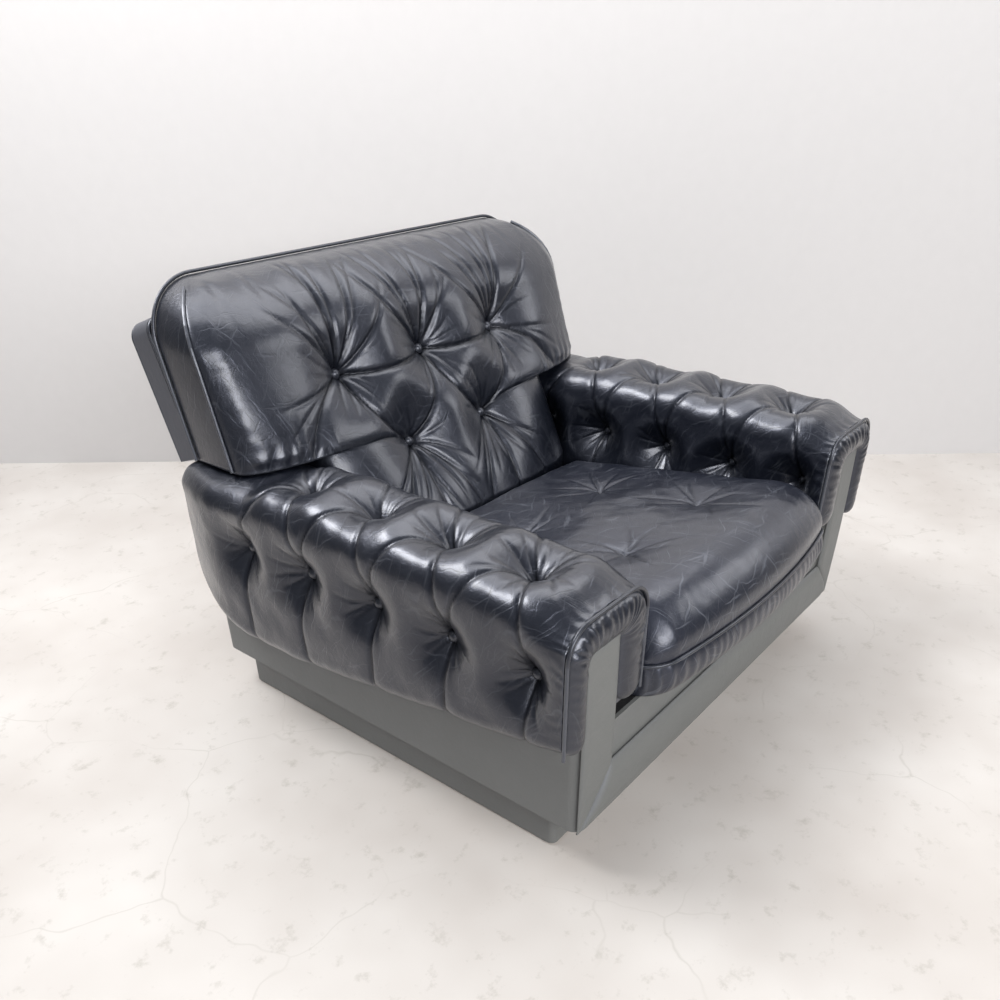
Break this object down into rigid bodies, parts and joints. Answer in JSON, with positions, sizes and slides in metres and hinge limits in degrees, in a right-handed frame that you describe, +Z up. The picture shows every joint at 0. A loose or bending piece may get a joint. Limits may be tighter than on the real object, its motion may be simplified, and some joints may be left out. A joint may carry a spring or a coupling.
{
  "type": "armchair",
  "caption": "Wide low leather lounge armchair with deep-buttoned padded arms and back, a loose piped seat cushion and a recessed plinth",
  "frame": {"origin": "on the floor under the middle of the chair's width and depth", "axes": "X is the chair's width, +X the sitter's left; the sitter faces -Y; +Z is up"},
  "size_m": [1.05, 1.0211, 0.77],
  "materials": {
    "leather": "dark blue-grey aniline leather, soft sheen, worn at the edges",
    "seat_leather": "the same leather, greyer and more matt from sitting",
    "frame_timber": "sawn hardwood frame, hidden",
    "board": "thin hardboard over the arm frame, hidden",
    "webbing": "rubberised upholstery webbing, hidden",
    "lining_cloth": "dark woven lining, hidden",
    "bolt_steel": "plain steel bolts, hidden",
    "glide_plastic": "black plastic glides"
  },
  "bodies": {
    "chair": {"plinth_front_board": "frame_timber", "plinth_rear_board": "frame_timber", "plinth_left_board": "frame_timber", "plinth_right_board": "frame_timber", "plinth_front_cover": "leather", "plinth_rear_cover": "leather", "plinth_side_covers": "frame_timber", "glides": "glide_plastic", "left_arm_outer_board": "board", "left_arm_inner_board": "board", "left_arm_front_post": "frame_timber", "left_arm_rear_post": "frame_timber", "left_arm_top_rail": "frame_timber", "left_arm_bottom_rail": "frame_timber", "left_arm_cover": "leather", "left_arm_pad": "leather", "left_arm_border": "leather", "left_arm_piping": "leather", "left_arm_buttons": "leather", "right_arm_outer_board": "board", "right_arm_inner_board": "board", "right_arm_front_post": "frame_timber", "right_arm_rear_post": "frame_timber", "right_arm_top_rail": "frame_timber", "right_arm_bottom_rail": "frame_timber", "right_arm_cover": "leather", "right_arm_pad": "leather", "right_arm_border": "leather", "right_arm_piping": "leather", "right_arm_buttons": "leather", "arm_bolts": "bolt_steel", "front_rail": "frame_timber", "front_lower_cover": "leather", "front_upper_cover": "leather", "left_seat_rail": "frame_timber", "right_seat_rail": "frame_timber", "rear_seat_rail": "frame_timber", "seat_webbing": "webbing", "deck_cloth": "lining_cloth", "dust_cloth": "lining_cloth", "back_foot_rail": "frame_timber", "left_back_stile": "frame_timber", "right_back_stile": "frame_timber", "back_bottom_rail": "frame_timber", "back_lower_rail": "frame_timber", "back_top_rail": "frame_timber", "back_wing_posts": "frame_timber", "back_webbing": "webbing", "back_lining": "lining_cloth", "shell_front_cover": "leather", "shell_rear_cover": "leather", "shell_band": "leather", "shell_piping": "leather", "rear_lower_cover": "leather", "back_cushion": "leather", "back_piping": "leather", "back_side_seams": "frame_timber", "back_buttons": "leather"},
    "seat": {"seat_cushion": "seat_leather", "seat_piping": "seat_leather"}
  },
  "joints": [
    {"name": "seat_cushion_lift", "type": "slide", "parent": "chair", "child": "seat", "axis": [0, 0, 1], "range_m": [0, 0.36]}
  ]
}
